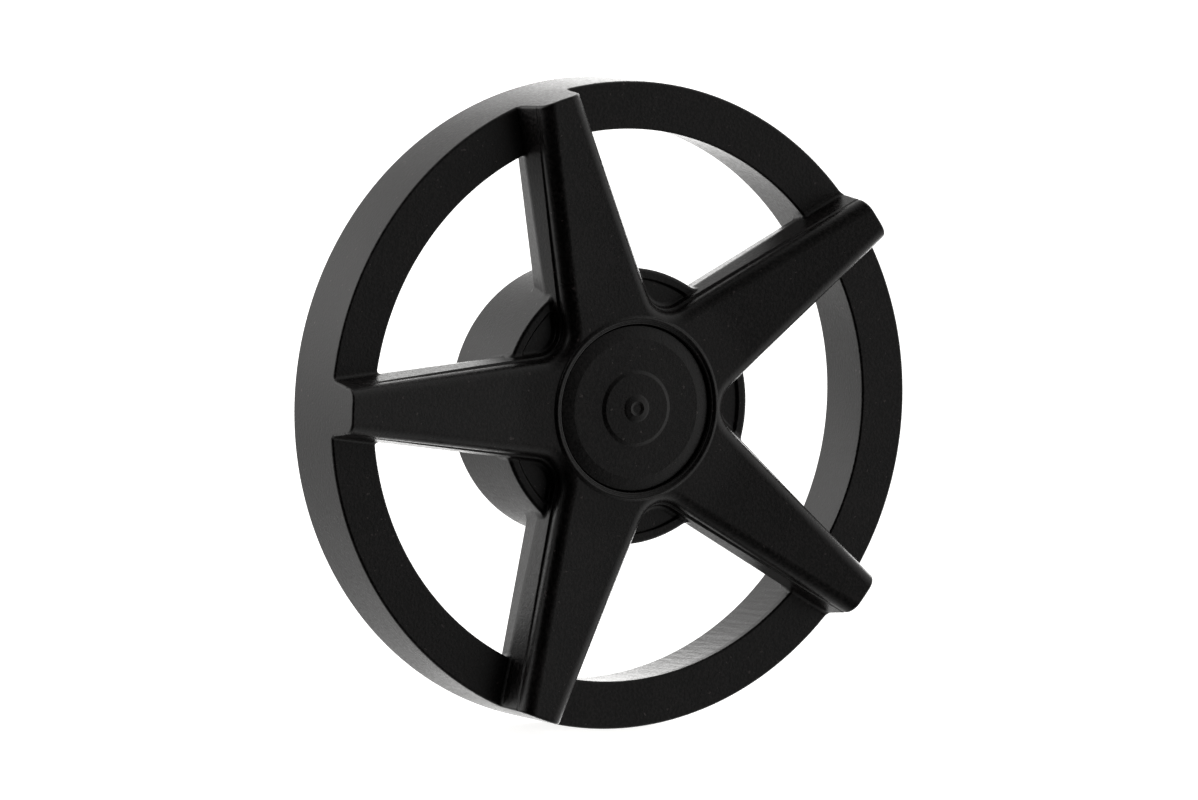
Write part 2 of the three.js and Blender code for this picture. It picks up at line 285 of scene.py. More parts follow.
def surface_net(distance, lines):
    """Points in grid coordinates, and quads, of the surface where the distance is zero."""
    cells = tuple(n - 1 for n in distance.shape)
    total = np.zeros(cells + (3,), np.float32)
    hits = np.zeros(cells, np.float32)
    cuts = []
    for axis in range(3):
        cut, place = crossings(distance, axis, lines)
        cuts.append(cut)
        first, second = around(axis)
        for a in (0, 1):
            for b in (0, 1):
                window = [slice(None)] * 3
                window[first] = slice(a, a + cells[first])
                window[second] = slice(b, b + cells[second])
                total += place[tuple(window)]
                hits += cut[tuple(window)]
    used = hits > 0
    index = np.full(cells, -1, np.int64)
    index[used] = np.arange(used.sum())
    points = total[used] / hits[used][:, None]
    quads = []
    for axis in range(3):
        first, second = around(axis)
        window = [slice(None)] * 3
        window[first] = slice(1, cells[first])
        window[second] = slice(1, cells[second])
        where = np.argwhere(cuts[axis][tuple(window)])
        where[:, first] += 1
        where[:, second] += 1
        corner = []
        for a, b in ((1, 1), (0, 1), (0, 0), (1, 0)):
            at = where.copy()
            at[:, first] -= a
            at[:, second] -= b
            corner.append(index[at[:, 0], at[:, 1], at[:, 2]])
        quads.append(np.stack(corner, -1))
    return points, np.vstack(quads), np.argwhere(used)


def gradient(solid, points, step=0.02):
    """The direction in which the distance grows, at points [x, station, z]."""
    slopes = []
    for axis in range(3):
        shift = np.zeros(3)
        shift[axis] = step
        slopes.append(solid(points + shift) - solid(points - shift))
    slopes = np.stack(slopes, -1)
    return slopes / np.maximum(np.linalg.norm(slopes, axis=1, keepdims=True), 1e-9)


def settled(solid, points, rounds=3):
    """Points moved onto the surface of the solid."""
    for _ in range(rounds):
        points = points - solid(points)[:, None] * gradient(solid, points)
    return points


def thinned(name, points, quads, face_count):
    """Points and triangles of a mesh of quads, thinned to about face_count triangles."""
    mesh = bpy.data.meshes.new(name)
    mesh.from_pydata(points.tolist(), [], quads.tolist())
    dense = make_object(name, mesh)
    thinner = dense.modifiers.new("thinner", "DECIMATE")
    thinner.ratio = min(1.0, face_count / (2 * len(quads)))
    thinner.use_collapse_triangulate = True
    bpy.context.view_layer.update()
    thin = dense.evaluated_get(bpy.context.evaluated_depsgraph_get()).to_mesh()
    points = np.array([v.co for v in thin.vertices], float).reshape(-1, 3)
    faces = np.array([p.vertices[:] for p in thin.polygons])
    bpy.data.objects.remove(dense)
    bpy.data.meshes.remove(mesh)
    return points, faces


def half_sector(name, solid, half_angle, radii, stations, step, face_count):
    """Points and triangles of half a sector, on the solid's surface and facing outwards."""
    angle_steps = int(half_angle * radii[1] / step)
    angle_step = half_angle / angle_steps
    lines = [
        np.arange(radii[0], radii[1] + step, step),
        (np.arange(angle_steps + 2) - 0.5) * angle_step,
        np.arange(stations[0], stations[1] + step, step),
    ]
    r, a, y = np.meshgrid(*lines, indexing="ij")
    flat = np.stack([r * np.cos(a), y, r * np.sin(a)], -1).reshape(-1, 3)
    points, quads, cell = surface_net(solid(flat).reshape(r.shape), lines)
    radius, angle, height = points.T.astype(float)
    angle[cell[:, 1] == 0] = 0.0
    angle[cell[:, 1] == angle_steps] = half_angle
    places = np.stack([radius * np.cos(angle), height, radius * np.sin(angle)], -1)
    points, faces = thinned(name + "_half", places, quads, face_count)

    angle = np.arctan2(points[:, 2], points[:, 0])
    at_start = np.abs(angle) * points[:, 0].clip(1) < 0.2 * step
    edge = np.array([math.sin(half_angle), 0, -math.cos(half_angle)])
    at_end = np.abs(points @ edge) < 0.2 * step
    points = settled(solid, points)
    points[at_start, 2] = 0.0
    points[at_end] -= np.outer(points[at_end] @ edge, edge)

    sides = points[faces]
    normal = np.cross(sides[:, 1] - sides[:, 0], sides[:, 2] - sides[:, 0])
    outward = gradient(solid, sides.mean(1))
    wrong = (normal * outward).sum(1) < 0
    faces[wrong] = faces[wrong][:, ::-1]
    return points, faces


def copied_round(points, faces, sectors, first_angle):
    """Half a sector and its mirror image, copied round the axle."""
    all_points, all_faces = [], []
    for k in range(sectors):
        turn = first_angle + 2 * math.pi / sectors * k
        spin = np.array(
            [
                [math.cos(turn), 0, -math.sin(turn)],
                [0, 1, 0],
                [math.sin(turn), 0, math.cos(turn)],
            ]
        )
        for mirrored in (False, True):
            copy = points * ([1, 1, -1] if mirrored else [1, 1, 1])
            start = sum(len(p) for p in all_points)
            all_points.append(copy @ spin.T)
            all_faces.append((faces[:, ::-1] if mirrored else faces) + start)
    return np.vstack(all_points), np.vstack(all_faces)


def surface_normals(mesh, solid, half_angle, first_angle):
    """The solid's own normals at the mesh's points, found in its first sector."""
    local = from_row([v.co for v in mesh.vertices])
    turn = np.arctan2(local[:, 2], local[:, 0]) - first_angle
    nearest = np.round(turn / (2 * half_angle)) * 2 * half_angle + first_angle
    cos, sin = np.cos(nearest), np.sin(nearest)
    base = local.copy()
    base[:, 0] = local[:, 0] * cos + local[:, 2] * sin
    base[:, 2] = -local[:, 0] * sin + local[:, 2] * cos
    slope = gradient(solid, base)
    normals = slope.copy()
    normals[:, 0] = slope[:, 0] * cos - slope[:, 2] * sin
    normals[:, 2] = slope[:, 0] * sin + slope[:, 2] * cos
    return normals


def sector_solid(name, solid, sectors, radii, stations, step, half_faces, first_angle=0.0):
    """A solid that repeats round the axle and is its own mirror image in each sector.

    Half a sector is meshed on a grid of radius, angle and station, thinned to about half_faces
    triangles, and copied round. The points end up on the surface, with the surface's normals."""
    half_angle = math.pi / sectors
    half = half_sector(name, solid, half_angle, radii, stations, step, half_faces)
    points, faces = copied_round(*half, sectors, first_angle)
    mesh = bpy.data.meshes.new(name)
    mesh.from_pydata(to_row(points).tolist(), [], faces.tolist())
    work = bmesh.new()
    work.from_mesh(mesh)
    bmesh.ops.remove_doubles(work, verts=work.verts, dist=0.002 * MM)
    bmesh.ops.dissolve_degenerate(work, edges=work.edges, dist=0.0005 * MM)
    work.to_mesh(mesh)
    work.free()
    mesh.shade_smooth()
    normals = surface_normals(mesh, solid, half_angle, first_angle)
    mesh.normals_split_custom_set_from_vertices(normals.tolist())
    return make_object(name, mesh)


# ---- Wheel moulding -----------------------------------------------------------------------


def spoke_frame(points):
    """Radius, station, and the distances along and across the nearest spoke and the next."""
    x, y, z = points.T
    r = np.hypot(x, z)
    a = np.abs(np.arctan2(z, x))
    b = 2 * math.pi / SPOKES - a
    return r, y, r * np.cos(a), r * np.sin(a), r * np.cos(b), r * np.sin(b)


def moulding(points):
    """Signed distance to the moulding in millimetres, with a spoke along +X."""
    r, y, along, across, next_along, next_across = spoke_frame(points)
    slope = 1 / math.hypot(1, SPOKE_TAPER)
    half_at_axis = TIP_HALF_WIDTH + SPOKE_TAPER * WHEEL_RADIUS
    side = (across + SPOKE_TAPER * along - half_at_axis) * slope
    next_side = (next_across + SPOKE_TAPER * next_along - half_at_axis) * slope
    star = fillet_union(side, next_side, VALLEY_FILLET)

    outwards = r - HUB_FLAT
    rise = (outwards + np.sqrt(outwards**2 + 1)) / 2
    front = HUB_FACE - rise * (STAR_PROUD + HUB_FACE) / (WHEEL_RADIUS - HUB_FLAT)
    depth = y - front
    plate = round_common(star - PLATE_DRAFT * depth, -depth, STAR_EDGE)
    plate = np.maximum(plate, depth - PLATE_THICKNESS - PLATE_OVERLAP)

    behind = y - RIB_PARTING
    rib = round_common(
        star - RIB_SWELL - RIB_FRONT_DRAFT * behind,
        star - RIB_SWELL + RIB_REAR_DRAFT * behind,
        RIB_WAIST_EDGE,
    )
    rib_slope = (RIB_REAR_AT_RIM - RIB_REAR_AT_HUB) / (RIM_INNER_FRONT - BOSS_RADIUS)
    rib_rear = RIB_REAR_AT_HUB + rib_slope * (r - BOSS_RADIUS)
    inside_boss = r < RIB_INSIDE_BOSS * BOSS_RADIUS
    rib_rear = np.where(inside_boss, POCKET_FLOOR + RIB_OVERLAP, rib_rear)
    rib = round_common(rib, y - rib_rear, RIB_REAR_EDGE)
    rib = round_common(rib, PLATE_THICKNESS - depth, RIB_LEDGE_EDGE)
    body = fillet_union(plate, rib, LEDGE_FILLET)

    rim_inner = RIM_INNER_FRONT + RIM_DRAFT * y - r
    rim = round_common(rim_inner, -y, EDGE_BREAK)
    rim = round_common(rim, y - RIM_DEPTH, EDGE_BREAK)
    body = fillet_union(body, rim, FOOT_FILLET)
    body = round_common(body, r - WHEEL_RADIUS, EDGE_BREAK)

    boss = round_common(r - BOSS_RADIUS, BOSS_FRONT - y, BOSS_EDGE)
    boss = round_common(boss, y - BOSS_REAR, BOSS_EDGE)
    pocket = fillet_union(POCKET_RADIUS - r, POCKET_FLOOR - y, POCKET_EDGE)
    boss = round_common(boss, pocket, POCKET_EDGE)
    core = np.maximum(r - CORE_RADIUS, PLATE_THICKNESS - depth)
    core = np.maximum(core, y - SEAT_FRONT)
    body = fillet_union(body, np.minimum(boss, core), JOIN_FILLET)

    bead = np.hypot(r - BEAD_RADIUS, y - HUB_FACE) - BEAD_ROUND
    body = fillet_union(body, bead, LEDGE_FILLET)
    body = round_common(body, HUB_BORE - r, BORE_EDGE)
    seat = np.maximum(r - SEAT_RADIUS, SEAT_FRONT - y)
    return round_common(body, -seat, SEAT_EDGE)


# ---- Materials ----------------------------------------------------------------------------


def new_material(name):
    material = bpy.data.materials.new(name)
    material.use_nodes = True
    return material, material.node_tree.nodes, material.node_tree.links


def ramp(nodes, links, source, low, high, out_low, out_high):
    """Maps a value from low..high to out_low..out_high."""
    node = nodes.new("ShaderNodeMapRange")
    node.inputs["From Min"].default_value = low
    node.inputs["From Max"].default_value = high
    node.inputs["To Min"].default_value = out_low
    node.inputs["To Max"].default_value = out_high
    links.new(source, node.inputs["Value"])
    return node.outputs["Result"]


def noise(nodes, links, coords, scale, detail=3.0, roughness=0.5):
    node = nodes.new("ShaderNodeTexNoise")
    node.inputs["Scale"].default_value = scale
    node.inputs["Detail"].default_value = detail
    node.inputs["Roughness"].default_value = roughness
    links.new(coords, node.inputs["Vector"])
    return node.outputs["Fac"]


def bump(nodes, links, height, distance, strength, before=None):
    node = nodes.new("ShaderNodeBump")
    node.inputs["Distance"].default_value = distance
    node.inputs["Strength"].default_value = strength
    links.new(height, node.inputs["Height"])
    if before is not None:
        links.new(before, node.inputs["Normal"])
    return node.outputs["Normal"]


def combined(nodes, links, operation, first, second):
    node = nodes.new("ShaderNodeMath")
    node.operation = operation
    links.new(first, node.inputs[0])
    links.new(second, node.inputs[1])
    return node.outputs[0]


def mixed_colour(nodes, links, factor, first, second):
    node = nodes.new("ShaderNodeMix")
    node.data_type = "RGBA"
    links.new(factor, node.inputs["Factor"])
    node.inputs["A"].default_value = (*first, 1)
    node.inputs["B"].default_value = (*second, 1)
    return node.outputs["Result"]


def axle_radius(nodes, links, coords):
    """Distance from the axle, and the coordinates split into X, Y and Z."""
    split = nodes.new("ShaderNodeSeparateXYZ")
    links.new(coords, split.inputs["Vector"])
    square_x = combined(nodes, links, "MULTIPLY", split.outputs["X"], split.outputs["X"])
    square_z = combined(nodes, links, "MULTIPLY", split.outputs["Z"], split.outputs["Z"])
    total = combined(nodes, links, "ADD", square_x, square_z)
    root = nodes.new("ShaderNodeMath")
    root.operation = "SQRT"
    links.new(total, root.inputs[0])
    return root.outputs[0], split.outputs


def cutter_marks(nodes, links, coords):
    """Faint marks across the rim's inner wall, left by the cutter that made the mould."""
    radius, split = axle_radius(nodes, links, coords)
    turn = combined(nodes, links, "ARCTAN2", split["Z"], split["X"])
    place = nodes.new("ShaderNodeCombineXYZ")
    links.new(ramp(nodes, links, turn, -math.pi, math.pi, 0, 220), place.inputs["X"])
    links.new(ramp(nodes, links, split["Y"], -0.01, 0.01, 0, 3), place.inputs["Y"])
    marks = noise(nodes, links, place.outputs["Vector"], 1.0, 1)
    wall_fade = (26.2 * MM, 26.35 * MM)
    web_fade = (25.2 * MM, 25.4 * MM)
    face_fade = ((RIM_FRONT_Y + 0.3) * MM, (RIM_FRONT_Y + 0.9) * MM)
    on_wall = ramp(nodes, links, radius, *wall_fade, 1, 0)
    past_webs = ramp(nodes, links, radius, *web_fade, 0, 1)
    behind_face = ramp(nodes, links, split["Y"], *face_fade, 0, 1)
    lower_right = ramp(nodes, links, turn, -0.9, 0.1, 1, 0.15)
    mask = combined(nodes, links, "MULTIPLY", on_wall, past_webs)
    mask = combined(nodes, links, "MULTIPLY", mask, behind_face)
    mask = combined(nodes, links, "MULTIPLY", mask, lower_right)
    return combined(nodes, links, "MULTIPLY", marks, mask)


def plastic(name, dark, light, rough_low, rough_high, cut_mould=False):
    """Moulded plastic: a faint mottle, flow marks in the gloss, a fine grain and pale specks."""
    material, nodes, links = new_material(name)
    shader = nodes["Principled BSDF"]
    coords = nodes.new("ShaderNodeTexCoord").outputs["Object"]
    mottle = noise(nodes, links, coords, 260, 4)
    fine = noise(nodes, links, coords, 3600, 2, 0.6)
    flow = noise(nodes, links, coords, 60, 2)
    cloudy = ramp(nodes, links, mottle, 0.35, 0.7, 0, 0.5)
    sandy = ramp(nodes, links, fine, 0.42, 0.62, -0.25, 0.75)
    blend = combined(nodes, links, "ADD", cloudy, sandy)
    specks = noise(nodes, links, coords, 2100, 1)
    speck_blend = ramp(nodes, links, specks, 0.745, 0.77, 0, 1)
    colour = nodes.new("ShaderNodeMix")
    colour.data_type = "RGBA"
    links.new(speck_blend, colour.inputs["Factor"])
    links.new(mixed_colour(nodes, links, blend, dark, light), colour.inputs["A"])
    colour.inputs["B"].default_value = (*[5 * v for v in light], 1)
    links.new(colour.outputs["Result"], shader.inputs["Base Color"])
    smooth = ramp(nodes, links, flow, 0.3, 0.7, rough_low, rough_high)
    satin = ramp(nodes, links, fine, 0.3, 0.7, -0.07, 0.07)
    rough = combined(nodes, links, "ADD", smooth, satin)
    links.new(rough, shader.inputs["Roughness"])
    shader.inputs["IOR"].default_value = 1.5
    coarse_bump = bump(nodes, links, mottle, 0.00004, 0.25)
    fine_bump = bump(nodes, links, fine, 0.00003, 0.7, coarse_bump)
    surface = fine_bump
    if cut_mould:
        marks = cutter_marks(nodes, links, coords)
        surface = bump(nodes, links, marks, 0.00006, 1.0, fine_bump)
    links.new(surface, shader.inputs["Normal"])
    return material


def steel(name, colour, rough, brushed=0.0):
    """Turned or ground steel, with fine marks round the axle where it is brushed."""
    material, nodes, links = new_material(name)
    shader = nodes["Principled BSDF"]
    shader.inputs["Metallic"].default_value = 1.0
    coords = nodes.new("ShaderNodeTexCoord").outputs["Object"]
    cloud = noise(nodes, links, coords, 420, 4)
    tone = ramp(nodes, links, cloud, 0.3, 0.7, 0, 1)
    worn = tuple(c * 0.86 for c in colour)
    links.new(mixed_colour(nodes, links, tone, colour, worn), shader.inputs["Base Color"])
    low, high = rough
    links.new(ramp(nodes, links, cloud, 0.3, 0.7, low, high), shader.inputs["Roughness"])
    if brushed:
        radius, split = axle_radius(nodes, links, coords)
        rings = nodes.new("ShaderNodeCombineXYZ")
        links.new(radius, rings.inputs["X"])
        links.new(split["Y"], rings.inputs["Y"])
        marks = noise(nodes, links, rings.outputs["Vector"], 9000, 2)
        links.new(bump(nodes, links, marks, 0.00001, brushed), shader.inputs["Normal"])
    return material


BLACK = plastic(
    "black_moulded_plastic",
    (0.004, 0.0033, 0.0033),
    (0.019, 0.0155, 0.0155),
    0.31,
    0.41,
    cut_mould=True,
)
CAP = plastic("cap_plastic", (0.006, 0.005, 0.005), (0.021, 0.018, 0.0178), 0.33, 0.43)
RING_STEEL = steel("ground_bearing_steel", (0.56, 0.57, 0.58), (0.16, 0.28), 0.35)
BALL_STEEL = steel("polished_ball_steel", (0.66, 0.67, 0.68), (0.05, 0.09))
SHIELD_STEEL = steel("pressed_shield_steel", (0.50, 0.51, 0.52), (0.26, 0.38), 0.15)
SPRING_STEEL = steel("oiled_spring_steel", (0.09, 0.09, 0.095), (0.3, 0.42))
PLATED_STEEL = steel("zinc_plated_steel", (0.60, 0.60, 0.58), (0.24, 0.36), 0.3)
NYLON = plastic("natural_nylon", (0.56, 0.50, 0.38), (0.62, 0.56, 0.44), 0.4, 0.5)

# ---- Pieces -------------------------------------------------------------------------------

wheel_step = 0.11
wheel_faces = 18500
wheel = sector_solid(
    "wheel_moulding_shell",
    moulding,
    SPOKES,
    (HUB_BORE - 0.3, WHEEL_RADIUS + 0.2),
    (-STAR_PROUD - 0.3, BOSS_REAR + 0.3),
    wheel_step,
    wheel_faces,
    first_angle=math.pi,
)
finish_piece(wheel, "wheel", "black_plastic", BLACK, "wheel_moulding")


def hub_cap():
    """A plug with a bevelled edge, a low round pad, and the stub of its moulding gate."""
    face = HUB_FACE + 0.12
    edge = HUB_FACE + 0.34
    pad_top = HUB_FACE - 0.03
    pad = 0.118 * WHEEL_RADIUS
    bevel = 0.214 * WHEEL_RADIUS
    pip = 0.038 * WHEEL_RADIUS
    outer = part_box("hub_cap")[1].x / MM - 0.05
    outline = [
        (0, pad_top - 0.06, 0),
        (0.35 * pip, pad_top - 0.04, 0.05),
        (0.6 * pip, pad_top - 0.16, 0.05),
        (pip, pad_top - 0.06, 0.08),
        (1.15 * pip, pad_top, 0.06),
        (pad - 0.35, pad_top, 0.15),
        (pad, face, 0.15),
        (bevel, face, 0.3),
        (outer, edge, 0.08),
        (outer, CAP_REAR, 0.2),
        (outer - 0.8, CAP_REAR, 0.2),
        (outer - 0.8, HUB_FACE + 1.4, 0.3),
        (0, HUB_FACE + 1.4, 0),
    ]
    return turned("hub_cap_shell", rounded(outline, closed=False))


finish_piece(hub_cap(), "wheel", "cap_plastic", CAP, "hub_cap")

# Bearing sizes that the CAD rings share.
BALL_RADIUS = 3.969 / 2
PITCH_RADIUS = 7.5
RACE_RADIUS = 2.06
INNER_LAND = 6.05
OUTER_LAND = 8.95
SHIELD_SEAT = 9.75
SHIELD_SEAT_DEPTH = 0.75
BALLS = 7


def groove(land, steps=16):
    """Points along a ball groove, from its front edge to its rear edge."""
    half_width = math.sqrt(RACE_RADIUS**2 - (land - PITCH_RADIUS) ** 2)
    side = math.copysign(1, land - PITCH_RADIUS)
    first = math.asin(half_width / RACE_RADIUS)
    points = []
    for k in range(steps + 1):
        a = -first + 2 * first * k / steps
        radius = PITCH_RADIUS + side * RACE_RADIUS * math.cos(a)
        points.append((radius, BEARING_MIDDLE + RACE_RADIUS * math.sin(a), 0))
    return points


def outer_ring():
    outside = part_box("bearing_outer_ring")[1].x / MM
    outline = [
        (outside, BEARING_FRONT, 0.3),
        (outside, BEARING_REAR, 0.3),
        (SHIELD_SEAT, BEARING_REAR, 0.12),
        (SHIELD_SEAT, BEARING_REAR - SHIELD_SEAT_DEPTH, 0.06),
        (OUTER_LAND, BEARING_REAR - SHIELD_SEAT_DEPTH, 0.08),
        *reversed(groove(OUTER_LAND)),
        (OUTER_LAND, BEARING_FRONT + SHIELD_SEAT_DEPTH, 0.08),
        (SHIELD_SEAT, BEARING_FRONT + SHIELD_SEAT_DEPTH, 0.06),
        (SHIELD_SEAT, BEARING_FRONT, 0.12),
    ]
    return turned("bearing_outer_ring_shell", rounded(outline))


def inner_ring():
    bore = 4.0
    outline = [
        (bore, BEARING_FRONT, 0.3),
        (INNER_LAND, BEARING_FRONT, 0.12),
        *groove(INNER_LAND),
        (INNER_LAND, BEARING_REAR, 0.12),
        (bore, BEARING_REAR, 0.3),
    ]
    return turned("bearing_inner_ring_shell", rounded(outline))


finish_piece(outer_ring(), "wheel", "bearing_steel", RING_STEEL, "bearing_outer_ring")
finish_piece(inner_ring(), "axle", "bearing_steel", RING_STEEL, "bearing_inner_ring")


def cage_solid(points):
    """Signed distance to the snap cage, with a ball's centre along +X."""
    x, y, z = points.T
    r = np.hypot(x, z)
    level = y - BEARING_MIDDLE
    wall = round_common(np.abs(r - PITCH_RADIUS) - 0.75, -1.2 - level, 0.2)
    wall = round_common(wall, level - 2.6, 0.2)
    ball = np.sqrt((x - PITCH_RADIUS) ** 2 + level**2 + z**2) - (BALL_RADIUS + 0.09)
    return round_common(wall, -ball, 0.08)


cage = sector_solid(
    "bearing_cage_shell",
    cage_solid,
    BALLS,
    (PITCH_RADIUS - 1.0, PITCH_RADIUS + 1.0),
    (BEARING_MIDDLE - 1.5, BEARING_MIDDLE + 2.9),
    0.09,
    1500,
)
finish_piece(cage, "cage", "cage_polymer", NYLON, "bearing_cage")


def ball(index):
    """One ball of the bearing, at its place in the cage."""
    angle = 2 * math.pi * index / BALLS
    work = bmesh.new()
    bmesh.ops.create_icosphere(work, subdivisions=4, radius=BALL_RADIUS * MM)
    centre = Vector((PITCH_RADIUS * math.cos(angle), BEARING_MIDDLE, PITCH_RADIUS * math.sin(angle)))
    centre.y += RIM_FRONT_Y
    bmesh.ops.translate(work, verts=work.verts, vec=centre * MM)
    mesh = bpy.data.meshes.new(f"ball_{index + 1}_shell")
    work.to_mesh(mesh)
    work.free()
    mesh.shade_smooth()
    return make_object(mesh.name, mesh)


for k in range(BALLS):
    finish_piece(ball(k), f"ball_{k + 1}", "ball_steel", BALL_STEEL, f"ball_{k + 1}")


def shield(name, side):
    """A pressed shield: its rolled outer lip sits in the outer ring, with a raised land inside."""
    seat = BEARING_MIDDLE + side * (BEARING_REAR - BEARING_MIDDLE - SHIELD_SEAT_DEPTH + 0.03)

    def out(distance):
        return seat + side * distance

    outline = [
        (SHIELD_SEAT - 0.12, out(0.0), 0.05),
        (SHIELD_SEAT - 0.12, out(0.28), 0.1),
        (8.7, out(0.28), 0.2),
        (8.4, out(0.46), 0.2),
        (6.9, out(0.46), 0.2),
        (6.6, out(0.28), 0.15),
        (INNER_LAND + 0.2, out(0.28), 0.08),
        (INNER_LAND + 0.2, out(0.06), 0.05),
        (6.7, out(0.06), 0.1),
        (7.0, out(0.24), 0.15),
        (8.3, out(0.24), 0.15),
        (8.6, out(0.0), 0.15),
    ]
    return turned(name, rounded(outline, steps=3))


def wire_ring(name, side):
    """The sprung wire that keeps the shield in, with a gap between its two cut ends."""
    wire = 0.2
    radius = SHIELD_SEAT - 0.1 - wire
    level = BEARING_MIDDLE + side * (BEARING_REAR - BEARING_MIDDLE - wire - 0.01)
    gap = 0.16
    bends, sides = 160, 14
    points, faces = [], []
    for i in range(bends + 1):
        turn = -math.pi / 2 + gap / 2 + (2 * math.pi - gap) * i / bends
        end = min(i, bends - i)
        thin = wire * (0.8 if end == 0 else 1.0)
        for j in range(sides):
            a = 2 * math.pi * j / sides
            r = radius + thin * math.cos(a)
            points.append((r * math.cos(turn), level + thin * math.sin(a), r * math.sin(turn)))
    for i in range(bends):
        for j in range(sides):
            k = (j + 1) % sides
            row, following = i * sides, (i + 1) * sides
            faces.append((row + j, row + k, following + k, following + j))
    faces.append(tuple(range(sides)))
    faces.append(tuple(bends * sides + j for j in reversed(range(sides))))
    return mesh_object(name, points, faces, 50)


for word, side in (("front", -1), ("rear", 1)):
    plate = shield(f"{word}_shield_pressing", side)
    finish_piece(plate, "wheel", "shield_steel", SHIELD_STEEL, f"{word}_shield")
    clip = wire_ring(f"{word}_shield_wire", side)
    finish_piece(clip, "wheel", "spring_steel", SPRING_STEEL, f"{word}_shield_clip")


def axle():
    """The stub axle: journal, ring groove, flange with two flats, and the threaded hole."""
    front, rear = station("axle_pin")
    flange_front = station("rear_spacer")[1] + 0.05
    journal = 3.97
    ring_front, ring_rear = station("retaining_ring")
    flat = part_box("axle_pin")[1].x / MM
    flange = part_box("axle_pin")[1].z / MM
    mouth, drill, crest, pitch = 2.75, 2.5, 2.1, 0.8
    hole_end = rear - 9.0
    rows_per_turn = 8
    thread = []
    level = rear - (mouth - crest)
    while level > hole_end + 1.2:
        thread.append((crest, level))
        level -= pitch / rows_per_turn
    outline = [
        (0, front, 0),
        (journal - 0.5, front, 0.1),
        (journal, front + 0.5, 0.1),
        (journal, ring_front - 0.05, 0.05),
        (3.8, ring_front - 0.05, 0),
        (3.8, ring_rear + 0.05, 0),
        (journal, ring_rear + 0.05, 0.05),
        (journal, flange_front, 0),
        (flange, flange_front, 0.15),
        (flange, rear, 0.3),
        (mouth, rear, 0.08),
    ]
    points = [tuple(p) for p in rounded(outline, closed=False)]
    points += [*thread, (crest, hole_end), (0, hole_end - 1.1)]

    def shape(place):
        """Cuts the two flats, and presses the thread's helix into the hole's wall."""
        x, y, z = place.T.copy()
        r = np.hypot(x, z)
        on_flange = (y > flange_front - 0.01) & (r > flat - 0.4)
        edge = np.clip(0.3 - np.minimum(rear - y, 0.3), 0, 0.3)
        limit = flat - edge
        x = np.where(on_flange, np.clip(x, -limit, limit), x)
        in_hole = (np.abs(r - crest) < 0.01) & (y < rear - 0.6) & (y > hole_end + 0.1)
        phase = (y / pitch - np.arctan2(z, x) / (2 * math.pi)) % 1.0
        cut = (drill - crest) * (1 - np.abs(2 * phase - 1))
        fade = np.clip((y - hole_end - 1.4) / pitch, 0, 1)
        grown = 1 + np.where(in_hole, cut * fade / np.maximum(r, 0.1), 0)
        return np.stack([x * grown, y, z * grown], -1)

    return turned("axle_pin_turned", points, steps=144, shape=shape, sharp_degrees=38)


finish_piece(axle(), "axle", "plated_steel", PLATED_STEEL, "axle_pin")


def washer(name, node):
    front, rear = station(node)
    bore, outer = 4.03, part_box(node)[1].x / MM
    outline = [(bore, front, 0.05), (outer, front, 0.08), (outer, rear, 0.12), (bore, rear, 0.08)]
    return turned(name, rounded(outline, steps=3))


for node in ("rear_spacer", "front_washer"):
    finish_piece(washer(f"{node}_turned", node), "axle", "plated_steel", PLATED_STEEL, node)


def retaining_ring():
    """A stamped ring, widest opposite its gap, with a drilled lug on each side of the gap."""
    front, rear = station("retaining_ring")
    bore, outside, offset = 3.85, 5.3, 0.4
    lug_radius, lug_hole, lug_centre, lug_angle = 1.15, 0.6, 5.1, 0.42
    half_gap = 1.1

    def ring_solid(points):
        x, y, z = points.T
        body = np.hypot(x, z + offset) - outside
        for side in (-1, 1):
            lug_x = lug_centre * math.sin(side * lug_angle)
            lug_z = lug_centre * math.cos(lug_angle)
            body = fillet_union(body, np.hypot(x - lug_x, z - lug_z) - lug_radius, 0.4)
        for side in (-1, 1):
            lug_x = lug_centre * math.sin(side * lug_angle)
            lug_z = lug_centre * math.cos(lug_angle)
            body = round_common(body, lug_hole - np.hypot(x - lug_x, z - lug_z), 0.05)
        body = round_common(body, bore - np.hypot(x, z), 0.06)
        slot = np.maximum(np.abs(x) - half_gap, -z)
        body = round_common(body, -slot, 0.1)
        thick = np.abs(y - (front + rear) / 2) - (rear - front) / 2
        return round_common(body, thick, 0.08)

    step = 0.08
    reach = outside + lug_radius
    lines = [
        np.arange(-reach, reach, step),
        np.arange(front - 0.2, rear + 0.2, step),
        np.arange(-reach, reach, step),
    ]
    x, y, z = np.meshgrid(*lines, indexing="ij")
    flat = np.stack([x, y, z], -1).reshape(-1, 3)
    points, quads, _ = surface_net(ring_solid(flat).reshape(x.shape), lines)
    points = settled(ring_solid, points.astype(float), 2)
    return mesh_object("retaining_ring_stamping", points, quads, 60)


finish_piece(retaining_ring(), "axle", "spring_steel", SPRING_STEEL, "retaining_ring")

# ---- Stage, light and camera --------------------------------------------------------------

FLOOR_Z = moulding_low.z
SOFT_WHITE = (1.0, 0.995, 0.985)
WALL_LIGHT = 0.8
LEFT_LIGHT = 1.5
RIGHT_LIGHT = 3.2
FILL_LIGHT = 0.09


